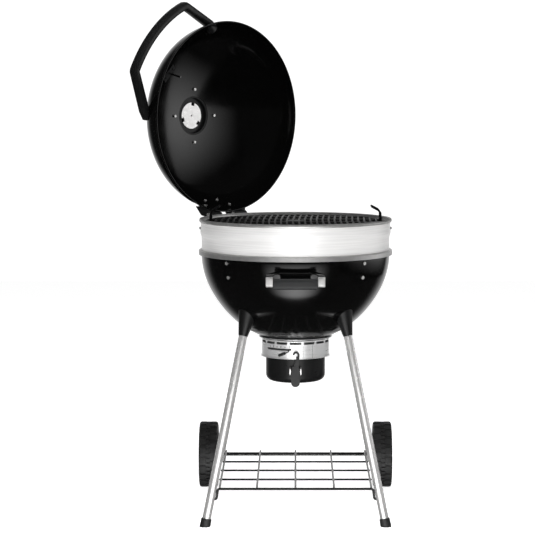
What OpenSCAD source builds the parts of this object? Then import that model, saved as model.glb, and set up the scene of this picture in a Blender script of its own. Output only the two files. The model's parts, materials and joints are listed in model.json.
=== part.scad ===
// Kettle charcoal grill on four legs: a deep enamelled bowl with a steel ring, a hinged domed lid,
// a swept ash system under the bowl, two wheels and a wire rack.
// Origin: on the floor, under the kettle's axis. +Z up, -Y is the grill's front, +X its right.
// The lid is drawn closed by its own modules and swung open by lid_pose().

/* [Bowl] */
// Outer radius of the bowl and lid seam
bowl_r = 283.5; // [275:0.5:290]
// Height of the bowl's rim above the floor
rim_z = 790; // [780:1:800]
// Thickness of the enamelled sheet steel
sheet = 1.5; // [1.2:0.1:2]

/* [Steel ring] */
// Outer radius of the ring's straight wall
ring_r = 282.8; // [280:0.1:283]
// Height of the ring's top bead above the bowl's rim
ring_h = 101.6; // [95:0.1:105]

/* [Lid] */
// Height of the dome above the lid's rim bead
dome_h = 165; // [160:1:170]
// Radius of the curve where the dome's side meets its crown
dome_side_r = 128; // [125:0.5:131]
// Angle that the lid stands open, in degrees
lid_open = 89.5; // [0:0.5:89.5]
// Direction of the hinge round the kettle, in degrees from +X
hinge_az = 135; // [130:1:140]
// Distance of the hinge pin from the kettle's axis
hinge_r = 301.9; // [301:0.1:303]

/* [Legs and wheels] */
// Outer diameter of the leg tubes
leg_d = 25.4; // [24:0.1:26]
// Radius of the wheels
wheel_r = 105; // [103:0.5:106]
// Width of the tyres
tyre_w = 59; // [56:1:60]

/* [Grates] */
// Radius of the cast-iron cooking grate
grate_r = 273; // [270:0.5:275]
// Spacing of the cooking grate's bars
bar_pitch = 18; // [17:0.5:20]

/* [Ash system] */
// Outer radius of the vent collar under the bowl
collar_r = 101.3; // [100:0.1:103]
// Outer radius of the ash pot
pot_r = 89.3; // [87:0.1:90]

/* [Hidden] */
$fn = 96;
big = 1000;

// Colours
enamel = "#0c0c0d";
plastic = "#1b1b1c";
steel = "#b9bbbd";
bright = "#d8d9da";
iron = "#2a2a2b";
rubber = "#151515";

// Bowl: radius and end angle of each arc of its side, from the rim down
bowl_arcs = [[240, 27.5], [330, 44.1]];
bowl_bead_r = 2.9;
crown = crown_of(bowl_r, bowl_arcs);
bowl_crown_r = crown[0];
bowl_crown_z = rim_z - crown[1];

// Steel ring
ring_top = rim_z + ring_h;
ring_sheet = 1.2;
bead_r = 290;
bead_h = 11;
lip_r = 291.3;

// Grates
grate_top = 884;
grate_h = 11;
support_top = grate_top - grate_h;
ring_bolt_drop = 12;
support_reach = 22;
coal_z = 668;
coal_r = 232;
coal_rod = 6;

// Lid
lid_z = 886.2;
lid_r = 292;
lid_arcs = [[dome_side_r, lid_side_angle()]];
lid_crown = crown_of(lid_r, lid_arcs);
lid_bead = 2.3;
hinge_z = 889.75;
hinge_pin_r = 4;
knuckle_r = 8;
vent_hole_r = 58;
vent_screw_r = 83;
vent_z = lid_z + dome_h;

// Lid handle: it reaches forward from roots at 45 degrees each side of the front
handle_root_r = 268;
handle_root_z = 70;
handle_drop = 8.6;
handle_t = 30;
handle_out_r = 382;
handle_grip_w = 25;
handle_corner = 23;

// Thermometer, on the front of the lid's crown
thermo_r = 190;
thermo_tilt = asin(thermo_r / lid_crown[0]);
thermo_case_r = 29;

// Legs: [top x, top y, top z, bottom x, bottom y, bottom z], right-hand side
leg_front = [146, -147, 597, 264, -236, 9];
leg_rear = [146, 130, 597, 244, 350, 88];
tube_wall = 1.5;
sleeve_z = 553;
foot_h = 23;

// Wheels and rack
wheel_x = 278.5;
axle_y = 350;
axle_r = 6;
rack_z = 109;
rack_front_y = -225;
rack_back_y = 337;
rack_bar = 3.7;
rack_wire = 3;
rack_xs = [-222.6, -113.2, 0, 113.2, 222.6];
rack_half = 228;
rack_tab = [232, -225.6, 79];
rack_tab_end = 242;
rack_back_end = 233;
rack_back_z = 108.2;

// Vent collar, sweeper and ash pot
collar_low = 476;
collar_slots = 15;
slot_z = 522.5;
shoulder_slot_z = 531.5;
pot_top = 478;
pot_low = 400;
pot_corner = 20;
lever_az = 259;
lever_swing = 42;
blade_count = 3;
shaft_r = 5;
shaft_low = 498;
opening_r = 84;
opening_inner_r = 32;
opening_half_angle = 21;
latch_z = 436;
latch_y = -106;

// Radius and height of the centre below the rim, of the crown that closes tangent arcs
function crown_of(rim_r, arcs, i = 0, cx = undef, cz = 0) =
    let (r = arcs[i][0], a = arcs[i][1], x = is_undef(cx) ? rim_r - r : cx)
    i == len(arcs) - 1
        ? let (cr = r + x / cos(a)) [cr, cz - (cr - r) * sin(a)]
        : let (d = r - arcs[i + 1][0])
          crown_of(rim_r, arcs, i + 1, x + d * cos(a), cz + d * sin(a));

// Angle at which the lid's side arc meets a crown that is dome_h high
function lid_side_angle() =
    let (x = lid_r - dome_side_r, h = dome_h,
         r = (x * x + h * h - dome_side_r * dome_side_r) / (2 * (h - dome_side_r)))
    atan2(r - h, x);

// Wedge of a disc between two angles
module pie(r, a0, a1) {
    intersection() {
        circle(r = r, $fn = 192);
        polygon([[0, 0], for (a = [a0, (a0 + a1) / 2, a1]) 2 * r * [cos(a), sin(a)]]);
    }
}

// Half outline of a dome of tangent arcs over a rim at height 0; inset moves its wall inwards.
// An arc that is tighter than its neighbours is a whole disc, and the others are wedges that stop
// one degree short of it.
module dome_outline(rim_r, arcs, inset = 0) {
    top = crown_of(rim_r, arcs);
    radii = [for (a = arcs) a[0], top[0]];
    ends = [-6, for (a = arcs) a[1], 96];
    steps = [for (i = [1:len(arcs)]) (radii[i - 1] - radii[i]) * [cos(ends[i]), sin(ends[i])]];
    intersection() {
        for (i = [0:len(arcs)]) {
            beside = i == 0 ? radii[1] : radii[i - 1];
            translate([rim_r - radii[0], 0] + sum_to(steps, i))
                if (beside > radii[i]) circle(r = radii[i] - inset, $fn = 192);
                else pie(radii[i] - inset, ends[i] + 1, ends[i + 1] - 1);
        }
        translate([0, inset > 0 ? -1 : 0]) square(big);
    }
}

function sum_to(list, n, i = 0) = i == n ? [0, 0] : list[i] + sum_to(list, n, i + 1);

// Solid inside the bowl's outer face, grown by extra
module bowl_solid(extra = 0) {
    translate([0, 0, rim_z]) mirror([0, 0, 1])
        rotate_extrude($fn = 192) dome_outline(bowl_r, bowl_arcs, -extra);
}

// Solid inside the lid's outer face, grown by extra
module lid_solid(extra = 0) {
    translate([0, 0, lid_z]) rotate_extrude($fn = 192) dome_outline(lid_r, lid_arcs, -extra);
}

// Straight round bar between two points
module rod(a, b, r) {
    v = b - a;
    translate(a) rotate([0, acos(v.z / norm(v)), atan2(v.y, v.x)])
        cylinder(h = norm(v), r = r, $fn = 32);
}

// Bent round wire through a list of points, with slightly fuller bends
module wire(points, r) {
    for (i = [0:len(points) - 2]) rod(points[i], points[i + 1], r);
    for (p = points) translate(p) sphere(r = 1.03 * r, $fn = 32);
}

// Turned solid between two points on a leg's line
module on_leg(leg, z0, z1) {
    a = leg_at(leg, z0);
    v = leg_at(leg, z1) - a;
    translate(a) rotate([0, acos(v.z / norm(v)), atan2(v.y, v.x)]) children();
}

function leg_at(leg, z) =
    let (t = (z - leg[5]) / (leg[2] - leg[5]))
    [leg[3] + t * (leg[0] - leg[3]), leg[4] + t * (leg[1] - leg[4]), z];

function leg_length(leg, z0, z1) = norm(leg_at(leg, z1) - leg_at(leg, z0));

// Swings what the lid carries from closed to the open pose
module lid_pose() {
    pin = [hinge_r * cos(hinge_az), hinge_r * sin(hinge_az), hinge_z];
    axis = [-sin(hinge_az), cos(hinge_az), 0];
    translate(pin) rotate(a = lid_open, v = axis) translate(-pin) children();
}

// Frame at the hinge: X outwards, Y along the pin, Z up, origin on the pin
module at_hinge() {
    rotate([0, 0, hinge_az]) translate([hinge_r, 0, hinge_z]) children();
}

// Upright profile in the hinge frame, w thick, centred at y along the pin
module hinge_slab(y, w) {
    translate([0, y + w / 2, 0]) rotate([90, 0, 0]) linear_extrude(w) children();
}

// Stations along each pin: lid knuckles and ring ears, as [centre, width]
lid_knuckles = [[35, 14], [71, 14]];
ring_ear = [53, 20];
plate_half_angle = 16;
ring_plate_low = 800;
ring_plate_h = 78;

// ---- Bowl and ring ----

module bowl() {
    color(enamel) difference() {
        translate([0, 0, rim_z]) mirror([0, 0, 1]) rotate_extrude($fn = 192) {
            difference() {
                dome_outline(bowl_r, bowl_arcs);
                dome_outline(bowl_r, bowl_arcs, sheet);
            }
            translate([bowl_r + bowl_bead_r - 1, bowl_bead_r + 0.1]) circle(r = bowl_bead_r, $fn = 32);
        }
        ash_openings();
        cylinder(h = rim_z, r = shaft_r + 0.05, $fn = 48);
        bowl_screw_places() cylinder(h = 12, r = 2.6, center = true, $fn = 24);
        leg_bolt_places() cylinder(h = 20, r = 4.1, center = true, $fn = 24);
        handle_bolt_places() cylinder(h = 16, r = 3.1, center = true, $fn = 24);
    }
}

// Three sector openings in the bottom of the bowl
module ash_openings() {
    for (i = [0:blade_count - 1]) rotate([0, 0, 120 * i + 60])
        linear_extrude(rim_z - 200) difference() {
            pie(opening_r, -opening_half_angle, opening_half_angle);
            circle(r = opening_inner_r);
        }
}

// Screws that hold the charcoal grate's brackets, at two heights on four sides
bowl_screw_rows = [[281.9, 772], [274.8, 730]];

module bowl_screw_places() {
    for (a = [45:90:315], row = bowl_screw_rows)
        rotate([0, 0, a]) translate([row[0], 0, row[1]]) rotate([0, 90, 0]) children();
}

module bowl_screws() {
    color(bright) bowl_screw_places() {
        translate([0, 0, -4.5]) cylinder(h = 7, r = 2.5, $fn = 24);
        translate([0, 0, 2.4]) cylinder(h = 2.4, r = 5, $fn = 32);
    }
}

module steel_ring() {
    outer = [
        [ring_r, rim_z + 7], [ring_r, rim_z + 45], [ring_r + 1.2, rim_z + 50],
        [286.4, rim_z + 58], [286.4, rim_z + 65], [285, rim_z + 70], [285, ring_top - 8]];
    color(steel) rotate_extrude($fn = 192) {
        polygon(concat(outer, [for (i = [len(outer) - 1:-1:0]) outer[i] - [ring_sheet, 0]]));
        translate([bead_r - bead_h / 4, 0]) for (z = [ring_top - 8.25, ring_top - 2.75])
            translate([0, z]) circle(r = 2.75, $fn = 32);
        translate([bead_r - 5.5, ring_top - 8.25]) square([5.5, 5.5]);
        translate([ring_r - ring_sheet, rim_z]) square([lip_r - ring_r + ring_sheet, 7]);
        translate([lip_r - ring_sheet, rim_z - 7]) square([ring_sheet, 8]);
    }
}

module ring_bolt_places() {
    for (a = [0, 180]) rotate([0, 0, a]) translate([285, 0, support_top - ring_bolt_drop])
        rotate([0, 90, 0]) children();
}

module ring_bolts() {
    color(iron) ring_bolt_places() translate([0, 0, 1]) cylinder(h = 3.6, r = 4, $fn = 32);
}

// L-shaped tabs inside the ring that carry the cooking grate
module grate_supports() {
    wall = 285 - ring_sheet;
    color(steel) for (a = [0:90:270]) rotate([0, 0, a]) intersection() {
        translate([200, -14, support_top - 30]) cube([90, 28, 30]);
        rotate_extrude($fn = 192) {
            translate([wall - support_reach, support_top - 2]) square([support_reach, 2]);
            translate([wall - 2.4, support_top - 17]) square([2.4, 16]);
        }
    }
}

// ---- Grates ----

// Bowed bars of the cooking grate, with cross ribs, a centre boss and a rim
bar_w = 6;
bar_bow = 8;
bow_length = 520;
bar_step = 30;
rib_w = 12;
rib_pitch = 118;
grate_rim_w = 9;
grate_boss_r = 30;

module bowed_bar(x) {
    half = sqrt(pow(grate_r - 4, 2) - x * x);
    n = ceil(2 * half / bar_step);
    ys = [for (k = [0:n]) -half + 2 * half * k / n];
    xs = [for (y = ys) x - bar_bow * cos(180 * y / bow_length)];
    polygon(concat(
        [for (k = [0:n]) [xs[k] - bar_w / 2, ys[k]]],
        [for (k = [n:-1:0]) [xs[k] + bar_w / 2, ys[k]]]));
}

module cooking_grate() {
    last = floor((grate_r - 14) / bar_pitch);
    color(iron) translate([0, 0, support_top]) difference() {
        union() {
            linear_extrude(grate_h) {
                difference() {
                    circle(r = grate_r, $fn = 192);
                    circle(r = grate_r - grate_rim_w, $fn = 192);
                }
                intersection() {
                    for (i = [-last:last]) bowed_bar(i * bar_pitch);
                    circle(r = grate_r - 2, $fn = 192);
                }
            }
            linear_extrude(grate_h - 0.4) intersection() {
                union() {
                    for (k = [-2:1]) translate([-grate_r, (k + 0.6) * rib_pitch - rib_w / 2])
                        square([2 * grate_r, rib_w]);
                    circle(r = grate_boss_r);
                }
                circle(r = grate_r - 2, $fn = 192);
            }
        }
        grate_handle_feet(3.05);
    }
}

grate_handle_x = 255;
grate_handle_y = 36;

// Sockets through the grate for the ends of the two lifting handles, in the grate's own frame
module grate_handle_feet(r) {
    for (sx = [-1, 1], sy = [-1, 1])
        translate([sx * grate_handle_x, sy * grate_handle_y, -1]) cylinder(h = 14, r = r, $fn = 32);
}

module grate_handles() {
    low = support_top + 1;
    bend = grate_top + 24;
    top = grate_top + 43;
    color(iron) for (s = [-1, 1]) wire([
        [s * grate_handle_x, -grate_handle_y, low + 2],
        [s * grate_handle_x, -grate_handle_y, bend],
        [s * (grate_handle_x - 6), -grate_handle_y, bend + 8],
        [s * (grate_handle_x - 26), -grate_handle_y, top],
        [s * (grate_handle_x - 26), grate_handle_y, top],
        [s * (grate_handle_x - 6), grate_handle_y, bend + 8],
        [s * grate_handle_x, grate_handle_y, bend],
        [s * grate_handle_x, grate_handle_y, low + 2]], 3);
}

module charcoal_grate() {
    pitch = 29;
    last = floor((coal_r - 10) / pitch);
    color(steel) {
        translate([0, 0, coal_z]) rotate_extrude($fn = 192)
            translate([coal_r - coal_rod / 2, 0]) circle(r = coal_rod / 2, $fn = 32);
        for (i = [-last:last]) {
            half = sqrt(pow(coal_r - coal_rod / 2, 2) - pow(i * pitch, 2));
            rod([i * pitch, -half, coal_z], [i * pitch, half, coal_z], coal_rod / 2);
        }
        for (y = [-80, 80]) {
            half = sqrt(pow(coal_r - 4, 2) - y * y);
            rod([-half, y, coal_z - coal_rod + 1], [half, y, coal_z - coal_rod + 1], coal_rod / 2);
        }
    }
}

// Straps inside the bowl that carry the charcoal grate
module charcoal_brackets() {
    foot_z = coal_z - coal_rod / 2 - 2;
    color(steel) difference() {
        for (a = [45:90:315]) rotate([0, 0, a]) intersection() {
            translate([190, -12, foot_z]) cube([100, 24, 118]);
            union() {
                difference() {
                    bowl_solid(-sheet - 0.05);
                    bowl_solid(-sheet - 2.05);
                }
                translate([208, -12, foot_z]) cube([100, 24, 2]);
            }
            bowl_solid(-sheet - 0.05);
        }
        bowl_screw_places() cylinder(h = 14, r = 2.6, center = true, $fn = 24);
    }
}

// ---- Front handle of the bowl ----

handle_y = -335;
handle_top_z = 760;
handle_fold_y = -280;
handle_slope = 9;
handle_plate = 3;
flange_half = 44;
grip_h = 31;
grip_d = 22;
grip_half = 64.5;
cap_w = 20.5;
grip_z = 724.5;
cap_z = 731;

module handle_bolt_places() {
    for (x = [-30, 30]) translate([x, -273, 752]) rotate([90, 0, 0]) children();
}

// Folded black plate that reaches out and down from the bowl to the grip's ends
module bowl_handle_frame() {
    color(plastic) difference() {
        union() {
            translate([0, handle_fold_y, handle_top_z]) rotate([handle_slope, 0, 0])
                translate([0, -handle_fold_y, -handle_plate]) linear_extrude(handle_plate)
                    for (side = [0, 1]) mirror([side, 0]) polygon([
                        [-1, -250], [-1, -312], [50, -312], [66, -341], [84, -341], [84, -327],
                        [flange_half, -278], [flange_half, -250]]);
            translate([-flange_half, handle_fold_y - 10, handle_top_z - 26])
                cube([2 * flange_half, 40, 24]);
        }
        translate([-flange_half + handle_plate, handle_fold_y - 20, handle_top_z - 60])
            cube([2 * (flange_half - handle_plate), 15, 56]);
        bowl_solid(0.05);
        handle_bolt_places() cylinder(h = 40, r = 3.1, center = true, $fn = 24);
    }
}

module bowl_handle_grip() {
    color(plastic) translate([-grip_half, handle_y, grip_z]) rotate([90, 0, 90])
        linear_extrude(2 * grip_half) grip_outline(grip_d, grip_h, 9);
}

// Rounded rectangle, centred
module grip_outline(w, h, r) {
    for (x = [-1, 1], y = [-1, 1]) translate([x * (w / 2 - r), y * (h / 2 - r)])
        circle(r = r, $fn = 48);
    square([w - 2 * r, h], center = true);
    square([w, h - 2 * r], center = true);
}

module bowl_handle_end_caps() {
    color(bright) for (s = [-1, 1]) translate([s * (grip_half + cap_w / 2), handle_y, cap_z])
        rotate([90, 0, 90]) translate([0, 0, -cap_w / 2]) linear_extrude(cap_w)
            grip_outline(grip_d + 1, 29, 8);
}

module bowl_handle_bolts() {
    color(bright) handle_bolt_places() {
        translate([0, 0, -8]) cylinder(h = 14, r = 3, $fn = 24);
        translate([0, 0, -9.5]) cylinder(h = 4, r = 5.5, $fn = 6);
    }
}

// ---- Legs, wheels and rack ----

function mirror_leg(leg) = [-leg[0], leg[1], leg[2], -leg[3], leg[4], leg[5]];

module leg_tube(leg) {
    color(steel) difference() {
        on_leg(leg, leg[5], leg[2]) cylinder(h = leg_length(leg, leg[5], leg[2]), d = leg_d);
        on_leg(leg, leg[5] - 9, leg[2])
            cylinder(h = leg_length(leg, leg[5] - 9, leg[2]) + 40, d = leg_d - 2 * tube_wall);
        bowl_solid(3);
        translate([-big / 2, axle_y, wheel_r]) rotate([0, 90, 0])
            cylinder(h = big, r = axle_r + 0.05, $fn = 48);
        rack_hole(rack_tab.y, rack_tab.z, rack_tab_end);
        rack_hole(rack_back_y, rack_back_z, rack_back_end);
        translate([0, 0, -big]) cube([big * 2, big * 2, 2 * big + 8], center = true);
    }
}

// Holes through the inner walls of a pair of legs for an end of the rack's bars
module rack_hole(y, z, end) {
    translate([-end - 2, y, z]) rotate([0, 90, 0]) cylinder(h = 2 * end + 4, r = rack_bar + 0.2, $fn = 32);
}

module leg_front_left() { leg_tube(mirror_leg(leg_front)); }
module leg_front_right() { leg_tube(leg_front); }
module leg_rear_left() { leg_tube(mirror_leg(leg_rear)); }
module leg_rear_right() { leg_tube(leg_rear); }

// Moulded socket that joins a leg to the underside of the bowl
module leg_sleeve(leg) {
    color(plastic) difference() {
        on_leg(leg, sleeve_z, 640)
            cylinder(h = leg_length(leg, sleeve_z, 640), r1 = 13.9, r2 = 31);
        on_leg(leg, sleeve_z - 10, leg[2]) cylinder(h = 150, d = leg_d + 0.1);
        bowl_solid(0.05);
    }
}

module sleeve_front_left() { leg_sleeve(mirror_leg(leg_front)); }
module sleeve_front_right() { leg_sleeve(leg_front); }
module sleeve_rear_left() { leg_sleeve(mirror_leg(leg_rear)); }
module sleeve_rear_right() { leg_sleeve(leg_rear); }

// Rubber cap on the end of a front leg, cut flat where it stands
module foot(leg) {
    color(rubber) intersection() {
        difference() {
            on_leg(leg, -20, foot_h) cylinder(h = leg_length(leg, -20, foot_h), r1 = 16.6, r2 = 15.2);
            on_leg(leg, 5, 200) cylinder(h = 60, d = leg_d + 0.1);
        }
        translate([leg[3] - 30, leg[4] - 30, 0]) cube(60);
    }
}

module foot_left() { foot(mirror_leg(leg_front)); }
module foot_right() { foot(leg_front); }

// Bolts from inside the bowl into the leg sleeves
module leg_bolt_places() {
    for (leg = [leg_front, mirror_leg(leg_front), leg_rear, mirror_leg(leg_rear)])
        on_leg(leg, 598, 620) children();
}

module leg_bolts() {
    color(bright) difference() {
        leg_bolt_places() {
            translate([0, 0, -9]) cylinder(h = 18, r = 4, $fn = 24);
            translate([0, 0, 7.5]) cylinder(h = 6, r = 7.5, $fn = 32);
        }
        difference() {
            bowl_solid(0.1);
            bowl_solid(-sheet - 0.1);
            leg_bolt_places() cylinder(h = 20, r = 4.05, center = true, $fn = 24);
        }
    }
}

module axle() {
    color(bright) translate([-wheel_x - 20, axle_y, wheel_r]) rotate([0, 90, 0])
        cylinder(h = 2 * wheel_x + 40, r = axle_r, $fn = 48);
}

// Frame at a wheel's centre with Z pointing outwards along the axle
module at_wheel(side) {
    translate([side * wheel_x, axle_y, wheel_r]) rotate([0, side * 90, 0]) children();
}

module tyre(side) {
    shoulder = 9;
    color(rubber) at_wheel(side) rotate_extrude($fn = 128) difference() {
        translate([wheel_r - 30, 0]) {
            translate([15, 0]) grip_outline(30, tyre_w, shoulder);
            translate([0, -tyre_w / 2]) square([15, tyre_w]);
        }
        translate([wheel_r - 31, -tyre_w / 2 + 6]) square([7, tyre_w - 12]);
    }
}

module tyre_left() { tyre(-1); }
module tyre_right() { tyre(1); }

// Dished hub: a rim that fills the tyre's groove, a web near the outer face and a boss
module hub(side) {
    groove_r = wheel_r - 24;
    color(plastic) at_wheel(side) difference() {
        union() {
            rotate_extrude($fn = 128) {
                translate([groove_r - 9, -tyre_w / 2 + 6]) square([9, tyre_w - 12]);
                translate([0, 2]) square([groove_r - 5, 6]);
                translate([0, -8]) square([15, 26]);
            }
            for (a = [0:60:300]) rotate([0, 0, a]) translate([0, -3, 2]) cube([groove_r - 5, 6, 12]);
        }
        translate([0, 0, -40]) cylinder(h = 80, r = axle_r + 0.06, $fn = 48);
        for (a = [30:60:330]) rotate([0, 0, a]) translate([42, 0, -20])
            cylinder(h = 60, r = 12, $fn = 48);
    }
}

module hub_left() { hub(-1); }
module hub_right() { hub(1); }

module hub_cap(side) {
    color(plastic) at_wheel(side) difference() {
        translate([0, 0, 18.5]) cylinder(h = 7, r1 = 15, r2 = 11);
        translate([0, 0, 0]) cylinder(h = 20.2, r = axle_r + 0.2, $fn = 48);
    }
}

module hub_cap_left() { hub_cap(-1); }
module hub_cap_right() { hub_cap(1); }

// Cross wires of the rack: the rear one ends in the rear legs, and the front one turns down and
// then outwards into the front legs
function rack_row(i) = rack_front_y + i * (rack_back_y - rack_front_y) / 4;

module rack_cross_wires() {
    color(iron) {
        for (i = [0:3])
            rod([-rack_half, rack_row(i), rack_z], [rack_half, rack_row(i), rack_z],
                i == 0 ? rack_bar : rack_wire);
        rod([-rack_back_end, rack_back_y, rack_back_z],
            [rack_back_end, rack_back_y, rack_back_z], rack_bar);
        for (s = [-1, 1]) wire([
            [s * rack_half, rack_front_y, rack_z],
            [s * rack_tab.x, rack_tab.y, rack_tab.z],
            [s * rack_tab_end, rack_tab.y, rack_tab.z]], rack_bar);
    }
}

// Long wires of the rack: they butt on the front bar and lie across the others
module rack_long_wires() {
    over = rack_z + 2 * rack_wire;
    start = rack_front_y + rack_bar + rack_wire + 0.1;
    color(iron) for (x = rack_xs) wire([
        [x, start, rack_z + 1], [x, start + 12, over], [x, rack_back_y + 12, over]], rack_wire);
}

// ---- Vent collar, sweeper and ash pot ----

module vent_collar() {
    wall = 1.2;
    color(steel) difference() {
        union() {
            rotate_extrude($fn = 128) {
                translate([collar_r - wall, collar_low]) square([wall, 52]);
                polygon([
                    [collar_r - wall, 528], [collar_r, 528], [96, 534.5], [96 - wall, 534.5]]);
                translate([90, 533.5]) square([20, 1.2]);
                translate([pot_r + 1, collar_low]) square([collar_r - pot_r + 2, wall]);
            }
            rotate([0, 0, 270]) translate([collar_r - 1, 0, 494]) rotate([0, 90, 0])
                cylinder(h = 5, r = 3, $fn = 32);
        }
        bowl_solid(0.05);
        for (i = [0:collar_slots - 1]) rotate([0, 0, 270 + i * 360 / collar_slots]) {
            collar_slot(slot_z, 7, 19.5);
            collar_slot(shoulder_slot_z, 3, 17);
        }
        rotate([0, 0, lever_az - lever_swing - 3]) rotate_extrude(angle = lever_swing + 7, $fn = 128)
            translate([collar_r - 4, 501]) square([8, 6]);
    }
}

// Oblong slot across the collar's wall, h high and span degrees wide
module collar_slot(z, h, span) {
    rotate([0, 0, -span / 2]) rotate_extrude(angle = span, $fn = 128)
        translate([80, z - h / 2]) square([40, h]);
}

blade_gap = 0.6;
blade_hub_r = 9.9;

// Curved blades that ride just above the bottom of the bowl
module sweeper_blades() {
    color(iron) difference() {
        intersection() {
            translate([0, 0, bowl_crown_z]) difference() {
                sphere(r = bowl_crown_r - sheet - blade_gap, $fn = 128);
                sphere(r = bowl_crown_r - sheet - blade_gap - 1.8, $fn = 128);
            }
            union() {
                for (i = [0:blade_count - 1]) rotate([0, 0, 120 * i]) linear_extrude(rim_z) {
                    pie(90, -25, 25);
                    translate([0, -13]) square([176, 26]);
                }
                cylinder(h = rim_z, r = 24);
            }
        }
        translate([0, 0, 400]) cylinder(h = 300, r = blade_hub_r + 0.05, $fn = 48);
        translate([0, 0, bowl_crown_z]) cylinder(h = 400, r = 300);
    }
}

module sweeper_shaft() {
    low = bowl_crown_z - bowl_crown_r;
    color(bright) {
        translate([0, 0, shaft_low]) cylinder(h = low - shaft_low + 10, r = shaft_r, $fn = 48);
        translate([0, 0, low + sheet + 0.5]) cylinder(h = 14, r = blade_hub_r, $fn = 48);
        translate([0, 0, shaft_low]) cylinder(h = 10, r = 10, $fn = 48);
    }
}

// Wire crank from the shaft out through the collar, turned down and sideways to its grip
function polar(r, a, z) = [r * cos(a), r * sin(a), z];

module sweeper_lever() {
    color(iron) wire([
        polar(11.65, lever_az, 504), polar(collar_r + 6, lever_az, 504),
        polar(collar_r + 7, lever_az, 499),
        polar(collar_r + 9, lever_az - 5, 495)], 1.6);
}

module sweeper_grip() {
    color(plastic) wire([
        polar(collar_r + 9.5, lever_az - 6.2, 494), polar(collar_r + 12, lever_az - 14, 488)], 4.2);
}

module ash_pot() {
    wall = 1.5;
    color(iron) rotate_extrude($fn = 128) difference() {
        pot_outline(0);
        pot_outline(wall);
    }
}

// Half outline of the pot with a rounded bottom corner
module pot_outline(inset) {
    r = pot_r - inset;
    low = pot_low + inset;
    c = pot_corner - inset;
    top = inset == 0 ? pot_top - 2.4 : pot_top + 1;
    translate([0, low]) square([r - c, top - low]);
    translate([0, low + c]) square([r, top - low - c]);
    translate([r - c, low + c]) circle(r = c, $fn = 64);
}

latch_half = 13;
latch_pin_z = latch_z + 4;
latch_pin_y = latch_y + 2;
lug_x = latch_half + 1.5;
lug_w = 3;
lug_low = latch_z - 9;
lug_top = latch_z + 15;

// Bright lugs each side of the latch lever, fixed to the pot, and the pin between them
module pot_latch_loops() {
    front = latch_pin_y - 6;
    color(bright) difference() {
        union() {
            for (side = [0, 1]) mirror([side, 0, 0]) translate([lug_x, 0, 0])
                rotate([90, 0, 90]) linear_extrude(lug_w) difference() {
                    translate([front, lug_low]) square([-pot_r + 6 - latch_pin_y, lug_top - lug_low]);
                    for (z = [lug_low, lug_top])
                        translate([front, z]) rotate(45) square(6, center = true);
                }
            translate([-lug_x - 1, latch_pin_y, latch_pin_z]) rotate([0, 90, 0])
                cylinder(h = 2 * lug_x + 2, r = 2, $fn = 32);
        }
        translate([0, 0, 300]) cylinder(h = 400, r = pot_r + 0.02, $fn = 128);
    }
}

latch_tail_z = 400;
latch_hook = [2, 490];
latch_hook_r = 10.5;
latch_hook_hole = 5;

// Lever that hangs from the loops, with a hook that reaches up in front of the collar's peg
module pot_latch_lever() {
    color(plastic) difference() {
        union() {
            intersection() {
                translate([-latch_half, latch_pin_y, 0]) rotate([90, 0, 90])
                    linear_extrude(2 * latch_half) latch_side();
                translate([0, latch_pin_y + 20, 0]) rotate([90, 0, 0])
                    linear_extrude(60) latch_front();
            }
            translate([0, latch_pin_y - 7, 0]) rotate([90, 0, 0]) linear_extrude(5) latch_hook_outline();
        }
        translate([-20, latch_pin_y, latch_pin_z]) rotate([0, 90, 0])
            cylinder(h = 40, r = 2.06, $fn = 32);
    }
}

// Lever seen from its side, pin at the origin of Y
module latch_side() {
    translate([0, latch_pin_z]) circle(r = 6, $fn = 48);
    polygon([
        [-6, latch_pin_z], [-9, 455], [-13, 455], [-13, latch_tail_z], [-1, latch_tail_z],
        [6, latch_pin_z]]);
    translate([-7, latch_tail_z]) circle(r = 6, $fn = 48);
}

// Lever seen from the front: round at the tail and narrower towards the hook
module latch_front() {
    round_z = latch_tail_z - 6 + latch_half;
    translate([0, round_z]) circle(r = latch_half, $fn = 64);
    polygon([
        [-latch_half, round_z], [latch_half, round_z], [latch_half, latch_z + 8], [9, 456],
        [-9, 456], [-latch_half, latch_z + 8]]);
}

module latch_hook_outline() {
    difference() {
        translate(latch_hook) circle(r = latch_hook_r, $fn = 64);
        translate(latch_hook) circle(r = latch_hook_hole, $fn = 64);
        translate(latch_hook - [20, 20]) square([20, 20]);
    }
    polygon([[7, 490], [12.5, 490], [9, 452], [-7, 452]]);
}

// ---- Lid ----

module lid_shell() {
    lid_pose() color(enamel) difference() {
        translate([0, 0, lid_z]) rotate_extrude($fn = 192) {
            difference() {
                dome_outline(lid_r, lid_arcs);
                dome_outline(lid_r, lid_arcs, 1.2);
            }
            translate([lid_r + 1.2, 0]) circle(r = lid_bead, $fn = 32);
        }
        translate([0, 0, vent_z - 30]) cylinder(h = 60, r = vent_hole_r);
        vent_screw_places() cylinder(h = 40, r = 2.6, center = true, $fn = 24);
        hinge_screw_places() cylinder(h = 20, r = 2.6, center = true, $fn = 24);
        lid_handle_screw_places() cylinder(h = 24, r = 3.1, center = true, $fn = 24);
        at_thermometer() cylinder(h = 60, r = 4.2, center = true, $fn = 32);
        thermometer_screw_places() cylinder(h = 20, r = 2.1, center = true, $fn = 24);
    }
}

// Frame in the handle's sloping plane: X forwards (-Y of the grill), Y sideways, Z square to the plane
module at_lid_handle() {
    translate([0, 0, lid_z]) rotate([0, 0, -90])
        translate([handle_root_r * cos(45), 0, handle_root_z])
        rotate([0, handle_drop, 0]) translate([-handle_root_r * cos(45), 0, 0]) children();
}

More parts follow.
